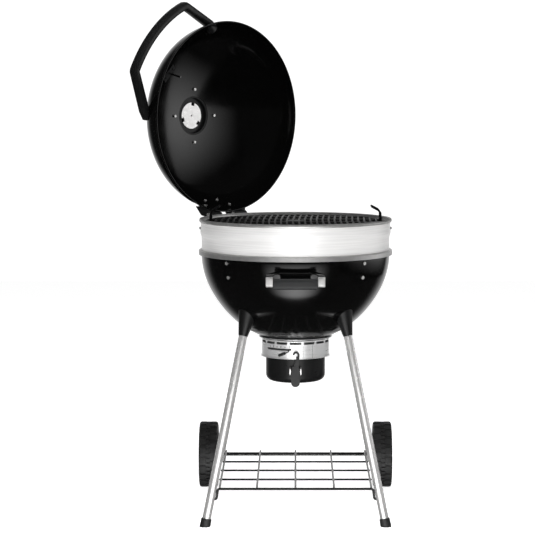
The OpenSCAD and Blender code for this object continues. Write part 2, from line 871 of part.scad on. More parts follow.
// Loop handle: two arms that run forward and a curved grip between them
module lid_handle() {
    root = handle_root_r * cos(45);
    corner = [handle_out_r * cos(handle_corner), handle_out_r * sin(handle_corner)];
    lid_pose() color(plastic) difference() {
        at_lid_handle() translate([0, 0, -handle_t / 2]) linear_extrude(handle_t) {
            intersection() {
                difference() {
                    circle(r = handle_out_r, $fn = 192);
                    circle(r = handle_out_r - handle_grip_w, $fn = 192);
                }
                polygon([[0, 0], 2 * [corner.x, corner.y - 9], 2 * [corner.x, 9 - corner.y]]);
            }
            for (side = [0, 1]) mirror([0, side]) {
                translate([corner.x - 12, corner.y - 14]) circle(r = 14, $fn = 48);
                polygon([
                    [corner.x - 20, corner.y - 31], [corner.x - 1, corner.y - 6],
                    [corner.x - 8, corner.y - 0.5], [root + 30, root + 11],
                    [root - 14, root + 15], [root - 14, root - 15], [root + 30, root - 17]]);
            }
        }
        lid_solid(0.05);
        lid_handle_screw_places() cylinder(h = 60, r = 3.05, center = true, $fn = 24);
    }
}

// Point on the lid's outer face: side arc or crown, at height h above the rim
function lid_radius(h) =
    let (edge = dome_side_r * sin(lid_arcs[0][1]))
    h < edge
        ? lid_r - dome_side_r + sqrt(pow(dome_side_r, 2) - h * h)
        : sqrt(pow(lid_crown[0], 2) - pow(h - lid_crown[1], 2));

function lid_normal(h) = asin(h / dome_side_r);

// Frame on the side of the dome: origin on its outer face, Z square to it and outwards
module on_lid_side(az, h) {
    rotate([0, 0, az]) translate([lid_radius(h), 0, lid_z + h])
        rotate([0, 90 - lid_normal(h), 0]) children();
}

module lid_handle_screw_places() {
    for (a = [225, 315]) on_lid_side(a, 71) children();
}

module lid_handle_screws() {
    lid_pose() color(bright) lid_handle_screw_places() {
        translate([0, 0, -3.6]) cylinder(h = 10, r = 3, $fn = 24);
        translate([0, 0, -4.4]) cylinder(h = 2.8, r = 6, $fn = 32);
    }
}

// Curved plate on the outside of the lid with four knuckles
module lid_hinge_bracket() {
    lid_pose() color(plastic) difference() {
        union() {
            rotate([0, 0, hinge_az - plate_half_angle]) translate([0, 0, lid_z])
                rotate_extrude(angle = 2 * plate_half_angle, $fn = 192) intersection() {
                    difference() {
                        dome_outline(lid_r, lid_arcs, -3.5);
                        dome_outline(lid_r, lid_arcs, -0.05);
                    }
                    translate([0, 5]) square([big, 85]);
                }
            at_hinge() for (k = lid_knuckles, s = [-1, 1]) hinge_slab(s * k[0], k[1]) {
                circle(r = knuckle_r, $fn = 48);
                polygon([[0, -8], [8, 0], [3, 34], [-24, 60], [-24, 0], [-8, 0]]);
            }
        }
        lid_solid(0.05);
        translate([0, 0, lid_z]) rotate_extrude($fn = 192) translate([lid_r - 10, -10])
            square([14, 13]);
        at_hinge() rotate([90, 0, 0])
            cylinder(h = 200, r = hinge_pin_r + 0.05, center = true, $fn = 48);
        hinge_screw_places() cylinder(h = 40, r = 2.6, center = true, $fn = 24);
    }
}

module hinge_screw_places() {
    for (p = [[-5.5, 78], [5.5, 78], [-10.5, 48], [10.5, 48]])
        on_lid_side(hinge_az + p[0], p[1]) children();
}

module lid_hinge_screws() {
    lid_pose() color(bright) hinge_screw_places() {
        translate([0, 0, -3]) cylinder(h = 6, r = 2.5, $fn = 24);
        translate([0, 0, -4]) cylinder(h = 2.6, r = 4.5, $fn = 32);
    }
}

// Curved plate bolted to the ring, with two ears that carry the pins
module ring_hinge_bracket() {
    color(plastic) difference() {
        union() {
            rotate([0, 0, hinge_az - plate_half_angle])
                rotate_extrude(angle = 2 * plate_half_angle, $fn = 192)
                    translate([lip_r + 0.5, ring_plate_low]) square([3.2, ring_plate_h]);
            at_hinge() for (s = [-1, 1]) hinge_slab(s * ring_ear[0], ring_ear[1]) {
                circle(r = knuckle_r, $fn = 48);
                polygon([[8, 0], [8, -10], [-6, -50], [-14, -50], [-14, -11], [-7, -9], [-7, -3]]);
            }
        }
        cylinder(h = 900, r = lip_r + 0.3, $fn = 192);
        at_hinge() rotate([90, 0, 0])
            cylinder(h = 200, r = hinge_pin_r + 0.05, center = true, $fn = 48);
        ring_hinge_bolt_places() cylinder(h = 40, r = 3.1, center = true, $fn = 24);
    }
}

module ring_hinge_bolt_places() {
    for (a = [-11, 11], z = [808, 829]) rotate([0, 0, hinge_az + a])
        translate([ring_r, 0, z]) rotate([0, 90, 0]) children();
}

// Each bolt has the spacer between the plate and the ring
module ring_hinge_bolts() {
    color(bright) ring_hinge_bolt_places() {
        translate([0, 0, 3.7]) cylinder(h = 11, r = 3, $fn = 24);
        translate([0, 0, 3.7]) cylinder(h = 5, r = 6, $fn = 32);
        translate([0, 0, 12.3]) cylinder(h = 4, r = 5.5, $fn = 6);
    }
}

module hinge_pins() {
    span = [27, 79];
    color(steel) at_hinge() for (s = [-1, 1]) translate([0, s * (span[0] + span[1]) / 2, 0])
        rotate([90, 0, 0]) {
            cylinder(h = span[1] - span[0], r = hinge_pin_r, center = true, $fn = 48);
            for (e = [-1, 1]) translate([0, 0, e * ((span[1] - span[0]) / 2 + 1)])
                cylinder(h = 2, r = 6, center = true, $fn = 48);
        }
}

// ---- Lid vent ----

vent_plate = 7;
damper_r = 41;
port_w = 13;
port_depth = 9;
port_az = 85;

// Three ports of the fixed plate, which the notches in the damper's edge uncover; over lengthens them
module vent_port_holes(over = 0) {
    for (i = [0:2]) rotate([0, 0, port_az + 120 * i])
        translate([damper_r - port_depth, -port_w / 2, -20]) cube([port_depth + over, port_w, 60]);
}

module vent_base() {
    lid_pose() color(plastic) translate([0, 0, vent_z]) difference() {
        rotate_extrude($fn = 128) {
            translate([vent_hole_r - 2, -12]) square([94 - vent_hole_r, 12]);
            translate([vent_hole_r - 2, -3]) square([3, vent_plate + 5]);
            translate([0, vent_plate]) square([vent_hole_r + 1, 2]);
        }
        translate([0, 0, -vent_z]) lid_solid(0.05);
        translate([0, 0, -vent_z]) difference() {
            lid_solid(40);
            lid_solid(3.5);
            translate([0, 0, vent_z - 12]) cylinder(h = 60, r = vent_hole_r + 2);
        }
        translate([0, 0, -30]) cylinder(h = 30 + vent_plate, r = vent_hole_r - 2.2);
        vent_port_holes();
        cylinder(h = 40, r = 4.06, $fn = 32);
        for (a = [45:90:315]) rotate([0, 0, a]) translate([vent_screw_r, 0, -20])
            cylinder(h = 60, r = 2.6, $fn = 24);
    }
}

module vent_screw_places() {
    for (a = [45:90:315]) rotate([0, 0, a]) translate([vent_screw_r, 0, vent_z]) children();
}

module vent_base_screws() {
    drop = lid_crown[0] - sqrt(pow(lid_crown[0], 2) - pow(vent_screw_r, 2));
    lid_pose() color(bright) vent_screw_places() {
        translate([0, 0, -drop - 7]) cylinder(h = 14.2, r = 2.5, $fn = 24);
        translate([0, 0, -drop - 6.4]) cylinder(h = 3.6, r = 4.6, $fn = 6);
        translate([0, 0, -drop + 5]) cylinder(h = 2.5, r = 5, $fn = 32);
    }
}

module vent_damper() {
    lid_pose() color(steel) translate([0, 0, vent_z]) {
        difference() {
            union() {
                translate([0, 0, vent_plate - 2.2]) cylinder(h = 1.6, r = damper_r);
                translate([0, 0, vent_plate - 2.2]) cylinder(h = 26.2, r = 4, $fn = 32);
            }
            vent_port_holes(5);
            translate([0, 0, vent_plate - 3]) cylinder(h = 8, r = 2.6, $fn = 24);
        }
    }
}

module vent_knob() {
    lid_pose() color(plastic) translate([0, 0, vent_z + vent_plate + 19]) difference() {
        union() {
            cylinder(h = 4, r = 17, $fn = 64);
            translate([-16, -4, 3]) cube([32, 8, 10]);
        }
        translate([0, 0, -1]) cylinder(h = 6.05, r = 4.02, $fn = 32);
    }
}

// Shallow roof over the ports, on three posts
module vent_rain_cap() {
    lid_pose() color(plastic) translate([0, 0, vent_z + vent_plate + 2]) {
        difference() {
            union() {
                translate([0, 0, 12]) cylinder(h = 3, r1 = 62, r2 = 58);
                translate([0, 0, 9]) cylinder(h = 4, r = 62);
            }
            translate([0, 0, 5]) cylinder(h = 7, r = 59.5);
            translate([0, 0, -1]) cylinder(h = 30, r = 4.2, $fn = 32);
        }
        for (i = [0:2]) rotate([0, 0, 60 + 120 * i]) translate([46, 0, 0])
            cylinder(h = 13, r = 4, $fn = 32);
    }
}

// ---- Lid thermometer ----

// Frame on the crown at the front: Z square to the dome
module at_thermometer() {
    rotate([0, 0, -90]) translate([0, 0, lid_z + lid_crown[1]]) rotate([0, thermo_tilt, 0])
        translate([0, 0, lid_crown[0]]) rotate([0, 0, 90]) children();
}

module thermometer_screw_places() {
    for (x = [-20, 20]) at_thermometer() translate([x, 0, 0]) children();
}

module thermometer_case() {
    lid_pose() color(steel) difference() {
        union() {
            at_thermometer() translate([0, 0, -2]) cylinder(h = 16, r = thermo_case_r);
            at_thermometer() translate([0, 0, -48]) cylinder(h = 50, r = 3, $fn = 32);
        }
        at_thermometer() translate([0, 0, 7]) cylinder(h = 20, r = thermo_case_r - 3);
        difference() {
            lid_solid(0.05);
            at_thermometer() translate([0, 0, -60]) cylinder(h = 70, r = 3.01, $fn = 32);
        }
        thermometer_screw_places() cylinder(h = 10, r = 2.05, center = true, $fn = 24);
    }
}

module thermometer_dial() {
    lid_pose() color("white") at_thermometer() translate([0, 0, 7]) difference() {
        cylinder(h = 1, r = thermo_case_r - 3.1);
        translate([0, 0, -1]) cylinder(h = 3, r = 1.56, $fn = 24);
    }
}

module thermometer_needle() {
    lid_pose() color("#b02020") at_thermometer() translate([0, 0, 7.1]) {
        cylinder(h = 2.6, r = 1.5, $fn = 24);
        translate([0, 0, 1.4]) linear_extrude(0.8) polygon([[-6, -1.6], [-6, 1.6], [21, 0.4], [21, -0.4]]);
    }
}

module thermometer_glass() {
    lid_pose() color("#dfe8ee", 0.35) at_thermometer() translate([0, 0, 12])
        cylinder(h = 1.8, r = thermo_case_r - 3.1);
}

// Plate inside the lid that clamps the thermometer, with its screws
module thermometer_backplate() {
    lid_pose() color(plastic) difference() {
        union() {
            at_thermometer() translate([-30, -12, -5]) cube([60, 24, 2.4]);
            thermometer_screw_places() translate([0, 0, -7.4]) cylinder(h = 9.2, r = 2, $fn = 24);
            thermometer_screw_places() translate([0, 0, -7.4]) cylinder(h = 3, r = 4, $fn = 32);
        }
        at_thermometer() cylinder(h = 60, r = 3.1, center = true, $fn = 32);
    }
}

bowl();
bowl_screws();
steel_ring();
ring_bolts();
grate_supports();
cooking_grate();
grate_handles();
charcoal_grate();
charcoal_brackets();
bowl_handle_frame();
bowl_handle_grip();
bowl_handle_end_caps();
bowl_handle_bolts();
leg_front_left();
leg_front_right();
leg_rear_left();
leg_rear_right();
sleeve_front_left();
sleeve_front_right();
sleeve_rear_left();
sleeve_rear_right();
foot_left();
foot_right();
leg_bolts();
axle();
tyre_left();
tyre_right();
hub_left();
hub_right();
hub_cap_left();
hub_cap_right();
rack_cross_wires();
rack_long_wires();
vent_collar();
sweeper_blades();
sweeper_shaft();
sweeper_lever();
sweeper_grip();
ash_pot();
pot_latch_loops();
pot_latch_lever();
lid_shell();
lid_handle();
lid_handle_screws();
lid_hinge_bracket();
lid_hinge_screws();
ring_hinge_bracket();
ring_hinge_bolts();
hinge_pins();
vent_base();
vent_base_screws();
vent_damper();
vent_knob();
vent_rain_cap();
thermometer_case();
thermometer_dial();
thermometer_needle();
thermometer_glass();
thermometer_backplate();
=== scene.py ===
"""Looks of the kettle charcoal grill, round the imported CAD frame. Metres, +Z up, -Y is the front."""

import json
import math

import bmesh
import bpy
from mathutils import Matrix, Vector


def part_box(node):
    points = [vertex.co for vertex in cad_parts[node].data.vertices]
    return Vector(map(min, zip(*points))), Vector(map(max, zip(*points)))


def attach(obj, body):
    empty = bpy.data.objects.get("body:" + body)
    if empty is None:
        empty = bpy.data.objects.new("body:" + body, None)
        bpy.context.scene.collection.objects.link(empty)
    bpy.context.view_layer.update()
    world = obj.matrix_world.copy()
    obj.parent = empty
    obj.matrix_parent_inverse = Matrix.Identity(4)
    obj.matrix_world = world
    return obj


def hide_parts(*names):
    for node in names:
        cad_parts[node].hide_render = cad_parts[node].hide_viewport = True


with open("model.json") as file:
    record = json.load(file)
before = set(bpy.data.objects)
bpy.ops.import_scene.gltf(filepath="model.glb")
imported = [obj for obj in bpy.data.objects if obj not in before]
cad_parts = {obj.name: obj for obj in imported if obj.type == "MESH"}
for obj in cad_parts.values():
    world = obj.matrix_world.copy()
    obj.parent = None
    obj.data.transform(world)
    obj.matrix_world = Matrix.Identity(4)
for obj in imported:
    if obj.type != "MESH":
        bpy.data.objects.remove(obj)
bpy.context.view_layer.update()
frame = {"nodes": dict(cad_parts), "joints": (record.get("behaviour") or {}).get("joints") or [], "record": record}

MM = 0.001
TAU = 2 * math.pi
SMOOTH_ANGLE = 35
STRAIGHT = 0.02  # radians of turn that need no rounding
WIRE_SIDES = 16


# ---------------------------------------------------------------- frame measures

def joint(name):
    """A joint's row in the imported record."""
    return next(j for j in frame["joints"] if j["name"] == name)


def turn_about(point, axis, angle):
    """The matrix of a turn about an axis through a point."""
    point = Vector(point)
    spin = Matrix.Rotation(angle, 4, Vector(axis))
    return Matrix.Translation(point) @ spin @ Matrix.Translation(-point)


# The lid's pieces are drawn closed, square to Z, and then opened to where the frame has them.
HINGE = joint("lid_hinge")
LID_OPEN = turn_about(HINGE["pos_m"], HINGE["axis"], -math.radians(HINGE["range_deg"][0]))

RING_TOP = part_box("steel_ring")[1].z
RIM_Z = RING_TOP - 101.6 * MM
SHELL_R = 283.5 * MM
SHEET = 1.5 * MM
LID_Z = RING_TOP - 5.4 * MM
LID_R = 292 * MM
LID_DOME_H = 165 * MM
LID_SIDE_R = 128 * MM
LID_SHEET = 1.2 * MM
LID_BEAD_R = 2.3 * MM
LID_HOLE_R = 58 * MM
GRATE_LOW, GRATE_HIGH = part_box("cooking_grate")
GRATE_TOP = GRATE_HIGH.z
GRATE_R = GRATE_HIGH.x
COLLAR_R = 101.3 * MM


# ---------------------------------------------------------------- mesh tools

def new_mesh(name, verts, faces):
    """A mesh with doubled points merged and its normals outwards."""
    mesh = bpy.data.meshes.new(name)
    mesh.from_pydata([tuple(v) for v in verts], [], faces)
    bm = bmesh.new()
    bm.from_mesh(mesh)
    bmesh.ops.remove_doubles(bm, verts=bm.verts, dist=1e-6)
    bmesh.ops.recalc_face_normals(bm, faces=bm.faces)
    bm.to_mesh(mesh)
    bm.free()
    return mesh


def smooth(obj, angle=SMOOTH_ANGLE):
    """Smooth shading, apart from edges sharper than the angle."""
    mesh = obj.data
    mesh.shade_smooth()
    mesh.set_sharp_from_angle(angle=math.radians(angle))
    return obj


def add(name, verts, faces, matrix=None, angle=SMOOTH_ANGLE):
    """A new object in the scene."""
    mesh = new_mesh(name, verts, faces)
    if matrix is not None:
        mesh.transform(matrix)
    obj = bpy.data.objects.new(name, mesh)
    bpy.context.scene.collection.objects.link(obj)
    return smooth(obj, angle)


def apply_modifiers(obj):
    """Puts the object's modifiers into its mesh."""
    graph = bpy.context.evaluated_depsgraph_get()
    mesh = bpy.data.meshes.new_from_object(obj.evaluated_get(graph))
    obj.modifiers.clear()
    old = obj.data
    obj.data = mesh
    mesh.name = obj.name
    bpy.data.meshes.remove(old)
    return smooth(obj)


def bevel(obj, width, segments=3):
    """Rounds the object's sharp edges."""
    mod = obj.modifiers.new("bevel", "BEVEL")
    mod.width = width
    mod.segments = segments
    mod.limit_method = "ANGLE"
    mod.angle_limit = math.radians(30)
    mod.use_clamp_overlap = True
    return apply_modifiers(obj)


def lathe(profile, segments):
    """Revolves a loop of (radius, height) points round Z."""
    verts, faces = [], []
    count = len(profile)
    for i in range(segments):
        a = TAU * i / segments
        verts += [(r * math.cos(a), r * math.sin(a), z) for r, z in profile]
        here, there = i * count, (i + 1) % segments * count
        for k in range(count):
            n = (k + 1) % count
            faces.append((here + k, there + k, there + n, here + n))
    return verts, faces


def loft(rings):
    """Skins a row of closed rings of points and closes both ends."""
    count = len(rings[0])
    verts = [point for ring in rings for point in ring]
    faces = []
    for i in range(len(rings) - 1):
        for k in range(count):
            a, b = i * count + k, i * count + (k + 1) % count
            faces.append((a, b, b + count, a + count))
    faces += [tuple(range(count))[::-1], tuple(range(len(verts) - count, len(verts)))]
    return verts, faces


def turned(loop, angle, spread, steps):
    """A loop of (radius, height) points turned about Z from angle - spread to angle + spread."""
    rings = []
    for k in range(steps + 1):
        a = angle + (2 * k / steps - 1) * spread
        rings.append([(r * math.cos(a), r * math.sin(a), z) for r, z in loop])
    return loft(rings)


def arc(centre, radius, start, stop, steps):
    """Points on a circle from start to stop, in degrees."""
    out = []
    for i in range(steps + 1):
        a = math.radians(start + (stop - start) * i / steps)
        out.append((centre[0] + radius * math.cos(a), centre[1] + radius * math.sin(a)))
    return out


def fillet(points, radius, steps=6):
    """Rounds the inner corners of a line of 3D points."""
    points = [Vector(p) for p in points]
    out = [points[0]]
    for before, p, after in zip(points, points[1:], points[2:]):
        a, b = before - p, after - p
        turn = math.pi - a.angle(b)
        if turn < STRAIGHT:
            out.append(p)
            continue
        reach = min(radius * math.tan(turn / 2), 0.45 * a.length, 0.45 * b.length)
        start, stop = p + a.normalized() * reach, p + b.normalized() * reach
        for k in range(steps + 1):
            t = k / steps
            out.append(start.lerp(p, t).lerp(p.lerp(stop, t), t))
    return out + [points[-1]]


def tube(points, radius):
    """A round wire with softened ends along 3D points."""
    points = [Vector(p) for p in points]
    last = len(points) - 1
    tangents = [(points[min(i + 1, last)] - points[max(i - 1, 0)]).normalized()
                for i in range(last + 1)]
    side = tangents[0].orthogonal().normalized()
    stations = []
    for point, t in zip(points, tangents):
        side = (side - t * side.dot(t)).normalized()
        stations.append((point, side, t.cross(side), radius))
    ends = [(math.sin(k * math.pi / 8), 0.6 * math.cos(k * math.pi / 8)) for k in range(3)]
    head, tail = [], []
    for width, reach in ends:
        for row, (point, u, v, r), away in ((head, stations[0], -tangents[0]),
                                            (tail, stations[-1], tangents[-1])):
            row.append((point + away * r * reach, u, v, max(r * width, 1e-5)))
    rings = []
    for centre, u, v, r in head + stations + tail[::-1]:
        angles = [TAU * k / WIRE_SIDES for k in range(WIRE_SIDES)]
        rings.append([centre + (u * math.cos(a) + v * math.sin(a)) * r for a in angles])
    return loft(rings)


def join(*parts):
    """One (verts, faces) pair made of several."""
    verts, faces = [], []
    for v, f in parts:
        base = len(verts)
        verts += list(v)
        faces += [tuple(i + base for i in face) for face in f]
    return verts, faces


def slab(outline, low, high):
    """A flat outline of (x, y) points pulled from one height to another."""
    return loft([[(x, y, z) for x, y in outline] for z in (low, high)])


def rounded_rect(w, h, r, steps):
    """Outline of a rectangle about the origin with rounded corners."""
    out = []
    for cx, cy, start in ((1, 1, 0), (-1, 1, 90), (-1, -1, 180), (1, -1, 270)):
        out += arc((cx * (w / 2 - r), cy * (h / 2 - r)), r, start, start + 90, steps)
    return out


def block(low, high):
    """A box between two corners."""
    (x0, y0, z0), (x1, y1, z1) = low, high
    return slab([(x0, y0), (x1, y0), (x1, y1), (x0, y1)], z0, z1)


def cut(obj, *cutters):
    """Takes the cutters out of obj and deletes them."""
    for c in cutters:
        mod = obj.modifiers.new("cut", "BOOLEAN")
        mod.operation = "DIFFERENCE"
        mod.solver = "EXACT"
        mod.object = c
    apply_modifiers(obj)
    for c in cutters:
        bpy.data.meshes.remove(c.data)
    return obj


def merge(name, *objects):
    """One object made of the meshes of several."""
    parts = []
    for o in objects:
        verts = [v.co.copy() for v in o.data.vertices]
        parts.append((verts, [tuple(p.vertices) for p in o.data.polygons]))
    verts, faces = join(*parts)
    for o in objects:
        bpy.data.meshes.remove(o.data)
    return add(name, verts, faces)


def piece(obj, body, material, node):
    """Puts a finished piece on its CAD body, in place of a CAD node if it stands for one."""
    obj.data.materials.clear()
    obj.data.materials.append(material)
    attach(obj, body)
    if node:
        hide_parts(node)


# ---------------------------------------------------------------- materials

class Graph:
    """Short calls that add nodes and links to a node tree."""

    def __init__(self, tree):
        self.tree = tree

    def new(self, kind, **settings):
        node = self.tree.nodes.new("ShaderNode" + kind)
        for key, value in settings.items():
            setattr(node, key, value)
        return node

    def link(self, a, b):
        self.tree.links.new(a, b)

    def map_range(self, value, source, target, smooth=False):
        """Maps a value from one (low, high) to another, held at both ends."""
        node = self.new("MapRange", interpolation_type="SMOOTHSTEP" if smooth else "LINEAR")
        for socket, limit in zip(("From Min", "From Max", "To Min", "To Max"), (*source, *target)):
            node.inputs[socket].default_value = limit
        self.link(value, node.inputs["Value"])
        return node.outputs["Result"]


class Nodes(Graph):
    """A Principled material under construction."""

    def __init__(self, name, **settings):
        self.material = bpy.data.materials.new(name)
        self.material.use_nodes = True
        super().__init__(self.material.node_tree)
        self.shader = self.tree.nodes["Principled BSDF"]
        for key, value in settings.items():
            self.shader.inputs[key.replace("_", " ")].default_value = value
        self.coords = self.new("TexCoord").outputs["Object"]

    def mapped(self, scale):
        node = self.new("Mapping")
        node.inputs["Scale"].default_value = scale
        self.link(self.coords, node.inputs["Vector"])
        return node.outputs["Vector"]

    def noise(self, scale, detail=3.0, stretch=None):
        node = self.new("TexNoise")
        node.inputs["Scale"].default_value = scale
        node.inputs["Detail"].default_value = detail
        self.link(self.mapped(stretch) if stretch else self.coords, node.inputs["Vector"])
        return node.outputs["Fac"]

    def colour(self, value, low, high, colours):
        node = self.new("ValToRGB")
        for stop, place, colour in zip(node.color_ramp.elements, (low, high), colours):
            stop.position = place
            stop.color = (*colour, 1)
        self.link(value, node.inputs["Fac"])
        self.link(node.outputs["Color"], self.shader.inputs["Base Color"])

    def rough(self, value, low, high):
        self.link(self.map_range(value, (0.3, 0.7), (low, high)), self.shader.inputs["Roughness"])

    def bump(self, value, strength, distance):
        node = self.new("Bump")
        node.inputs["Strength"].default_value = strength
        node.inputs["Distance"].default_value = distance
        self.link(value, node.inputs["Height"])
        self.link(node.outputs["Normal"], self.shader.inputs["Normal"])


def grey(v, tint=0.0):
    """A grey, warmer with a tint above nought and cooler with one below."""
    return (v * (1 + tint), v, v * (1 - tint))


def enamel():
    """Gloss black enamel with a faint orange peel and tiny specks."""
    m = Nodes("black_enamel", IOR=1.5)
    m.colour(m.noise(900, 2), 0.45, 0.78, (grey(0.0010), grey(0.003)))
    m.rough(m.noise(14, 4), 0.10, 0.16)
    m.bump(m.noise(160, 2), 0.03, 0.0006)
    return m.material


def brushed(name, level, stretch, rough=(0.34, 0.46), strength=0.05, fan=0.0, metallic=1.0):
    """Brushed steel: lines run along the axes with a small stretch, and fan spreads gloss across them."""
    m = Nodes(name, Metallic=metallic, Anisotropic=fan, Anisotropic_Rotation=0.25)
    if fan:
        tangent = m.new("Tangent", direction_type="RADIAL", axis="Z")
        m.link(tangent.outputs["Tangent"], m.shader.inputs["Tangent"])
    lines = m.noise(1.0, 4, stretch)
    m.colour(lines, 0.3, 0.72, (grey(level * 0.86, 0.008), grey(level, 0.008)))
    m.rough(lines, *rough)
    m.bump(lines, strength, 0.0003)
    return m.material


def collar():
    """Bright steel outside, and painted shade: near-black on the faces nearer the axis than the outer wall."""
    m = Nodes("collar_steel", Metallic=0.6)
    lines = m.noise(1.0, 4, (14, 14, 700))
    m.rough(lines, 0.26, 0.36)
    m.bump(lines, 0.04, 0.0003)
    reach = m.new("VectorMath", operation="LENGTH")
    m.link(m.mapped((1, 1, 0)), reach.inputs[0])
    # Painted shade: faces nearer the axis than the outer wall are coloured near-black, the outer wall bright
    # steel.
    m.colour(reach.outputs["Value"], COLLAR_R - 0.8 * MM, COLLAR_R - 0.4 * MM, (grey(0.012), grey(0.88)))
    return m.material


def moulded(name, level, rough, grain=700, strength=0.12):
    """Moulded plastic with a fine grain and slightly uneven sheen."""
    m = Nodes(name, Specular_IOR_Level=0.3)
    m.colour(m.noise(22, 3), 0.3, 0.7, (grey(level * 0.85, -0.02), grey(level * 1.15, -0.02)))
    m.rough(m.noise(40, 3), rough - 0.05, rough + 0.06)
    m.bump(m.noise(grain, 2), strength, 0.0002)
    return m.material


def cast():
    """Cast iron with a sandy skin under a thin dark coating."""
    m = Nodes("cast_iron")
    m.colour(m.noise(60, 5), 0.3, 0.75, (grey(0.004), grey(0.016)))
    m.rough(m.noise(90, 4), 0.34, 0.55)
    m.bump(m.noise(420, 4), 0.35, 0.0006)
    return m.material


def metal(name, level, rough, grain=300, metallic=1.0):
    """Plain plated or bare metal with fine, even wear."""
    m = Nodes(name, Metallic=metallic)
    m.colour(m.noise(grain, 3), 0.3, 0.7, (grey(level * 0.85, 0.01), grey(level, 0.01)))
    m.rough(m.noise(grain / 3, 3), rough * 0.8, rough * 1.2)
    m.bump(m.noise(grain * 2, 2), 0.06, 0.0002)
    return m.material


def glass():
    """Clear glass with faint smears."""
    m = Nodes("dial_glass", Transmission_Weight=1.0, IOR=1.45, Base_Color=(0.95, 0.97, 0.98, 1))
    m.rough(m.noise(30, 2), 0.01, 0.03)
    return m.material


def painted(name, colour, rough):
    """Printed or painted face with faint unevenness."""
    m = Nodes(name)
    dark = tuple(0.9 * c for c in colour)
    m.colour(m.noise(120, 3), 0.3, 0.7, (dark, colour))
    m.rough(m.noise(60, 3), rough * 0.9, rough * 1.1)
    return m.material


def rubber(name, level):
    """Matt rubber with a fine grain."""
    m = Nodes(name)
    m.colour(m.noise(35, 5), 0.3, 0.75, (grey(level * 0.7), grey(level * 1.3)))
    m.rough(m.noise(70, 4), 0.5, 0.68)
    m.bump(m.noise(900, 3), 0.2, 0.0003)
    return m.material


# Each is named after the record's material slot, or after the pieces that it is for.
MAT = {
    "black_enamel": enamel(),
    "ring_steel": brushed("ring_steel", 0.90, (5, 5, 280), (0.42, 0.52), fan=0.8, metallic=0.30),
    "rolled_steel": brushed("rolled_steel", 0.68, (60, 60, 60), metallic=0.85, strength=0.02),
    "collar_steel": collar(),
    "leg_steel": brushed("leg_steel", 0.80, (300, 300, 3), (0.22, 0.28), strength=0.004, metallic=0.65),
    "bright_fastener": metal("bright_fastener", 0.60, 0.24, metallic=0.75),
    "dark_fastener": metal("dark_fastener", 0.05, 0.35, metallic=0.4),
    "cast_iron": cast(),
    "black_wire": moulded("black_wire", 0.004, 0.30, grain=240, strength=0.05),
    # Painted highlight: the rack's long wires get a light grey metal in place of the black wire's gloss.
    "painted_highlight_wire": metal("painted_highlight_wire", 0.30, 0.40, metallic=0.3),
    "coal_wire": metal("coal_wire", 0.42, 0.38),
    "bracket_steel": metal("bracket_steel", 0.40, 0.34),
    "black_plastic": moulded("black_plastic", 0.006, 0.36),
    "grip_plastic": moulded("grip_plastic", 0.016, 0.42),
    "cap_aluminium": metal("cap_aluminium", 0.50, 0.42, grain=500, metallic=0.6),
    "black_plate": moulded("black_plate", 0.008, 0.36, grain=400),
    "pot_black": moulded("pot_black", 0.007, 0.32, grain=500),
    "foot_rubber": rubber("foot_rubber", 0.012),
    "tyre_rubber": rubber("tyre_rubber", 0.016),
    "damper_metal": metal("damper_metal", 0.96, 0.34, grain=420, metallic=0.8),
    "case_steel": metal("case_steel", 0.62, 0.24),
    "dial_face": painted("dial_face", (0.82, 0.82, 0.80), 0.5),
    "needle_red": painted("needle_red", (0.55, 0.02, 0.02), 0.4),
    "dial_glass": glass(),
}

for entry in frame["record"]["subparts"]:
    node = frame["nodes"][entry["node"]]
    node.data.materials.clear()
    node.data.materials.append(MAT[entry["material_slot"]])


# ---------------------------------------------------------------- bowl and ring

def dome_line(rim_r, arcs, steps=14):
    """Outer line of a dome of tangent arcs, as (radius, depth) from the rim to the pole."""
    centre = Vector((rim_r - arcs[0][0], 0.0))
    line, at = [], 0.0
    for i, (radius, stop) in enumerate(arcs):
        line += arc(centre, radius, at, stop, steps)[:-1]
        if i + 1 < len(arcs):
            a = math.radians(stop)
            centre += (radius - arcs[i + 1][0]) * Vector((math.cos(a), math.sin(a)))
        at = stop
    radius, a = arcs[-1][0], math.radians(at)
    crown = radius + centre.x / math.cos(a)
    pole = centre.y - (crown - radius) * math.sin(a)
    line += arc((0, pole), crown, at, 90, 2 * steps)
    return [(max(r, 0), d) for r, d in line]


BOWL_ARCS = [(240 * MM, 27.5), (330 * MM, 44.1)]
BOWL_LINE = [(r, RIM_Z - d) for r, d in dome_line(SHELL_R, BOWL_ARCS)]
BOWL_BEAD_R = 2.9 * MM
ASH_OPENINGS = 3
OPENING_MIDDLE = 60  # degrees
OPENING_HALF = 21  # degrees
OPENING_RADII = (32 * MM, 84 * MM)
OPENING_HEIGHTS = (450 * MM, 560 * MM)


def opening_cutter(middle):
    """A wedge that cuts one ash opening."""
    start, stop = middle - OPENING_HALF, middle + OPENING_HALF
    inner, outer = OPENING_RADII
    ring = arc((0, 0), outer, start, stop, 12) + arc((0, 0), inner, stop, start, 12)
    return add("cutter", *slab(ring, *OPENING_HEIGHTS))


def make_bowl():
    """Sheet bowl with a rolled bead at its rim and the ash openings in its bottom."""
    bead_at = (SHELL_R + BOWL_BEAD_R - 1 * MM, RIM_Z - BOWL_BEAD_R - 0.1 * MM)
    bead = arc(bead_at, BOWL_BEAD_R, 110, -150, 10)
    outer = bead + [p for p in BOWL_LINE if p[1] < RIM_Z - 2 * BOWL_BEAD_R - 0.2 * MM]
    inner = [(max(r - SHEET, 0), z + SHEET * (1 - r / SHELL_R)) for r, z in BOWL_LINE]
    obj = add("bowl_shell", *lathe(outer + inner[::-1], 192))
    step = 360 / ASH_OPENINGS
    return cut(obj, *[opening_cutter(OPENING_MIDDLE + i * step) for i in range(ASH_OPENINGS)])


piece(make_bowl(), "stand", MAT["black_enamel"], "bowl")


def over_rim(loop):
    """(radius, height over the bowl's rim) points in millimetres, in the frame's metres."""
    return [(r * MM, RIM_Z + z * MM) for r, z in loop]


